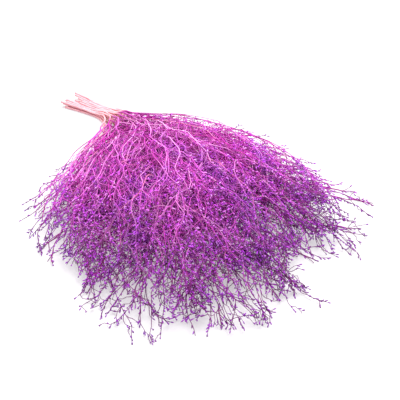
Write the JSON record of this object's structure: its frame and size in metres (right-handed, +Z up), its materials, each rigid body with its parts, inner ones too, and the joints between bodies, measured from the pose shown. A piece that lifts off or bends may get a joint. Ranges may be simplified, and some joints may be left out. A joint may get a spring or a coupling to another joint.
{
  "type": "dried statice bunch",
  "caption": "Bunch of dried statice lying on its side: bare cut stems pinched together, fanning out into zigzag, fine-forking violet sprays with small papery florets at the tips.",
  "frame": {"origin": "on the surface that the bunch lies on, under the middle of its bounding box", "axes": "+Z up; +Y along the bunch toward the cut ends, with the tips fanned out toward -Y; +X to the right as seen looking along +Y"},
  "size_m": [0.3508, 0.456, 0.0761],
  "materials": {
    "dyed_stem": "matt dried stem, dyed magenta to violet, pale pink where it is bare",
    "floret": "matt papery floret, dyed violet"
  },
  "bodies": {
    "root": {"spray_01": "dyed_stem", "spray_02": "dyed_stem", "spray_03": "dyed_stem", "spray_04": "dyed_stem", "spray_05": "dyed_stem", "spray_06": "dyed_stem", "spray_07": "dyed_stem", "spray_08": "dyed_stem", "spray_09": "dyed_stem", "spray_10": "dyed_stem", "spray_11": "dyed_stem", "spray_12": "dyed_stem", "spray_13": "dyed_stem", "spray_14": "dyed_stem", "spray_15": "dyed_stem", "spray_16": "dyed_stem", "spray_17": "dyed_stem", "spray_18": "dyed_stem", "spray_19": "dyed_stem", "spray_20": "dyed_stem", "spray_21": "dyed_stem", "spray_22": "dyed_stem", "spray_23": "dyed_stem", "spray_24": "dyed_stem"}
  },
  "joints": []
}
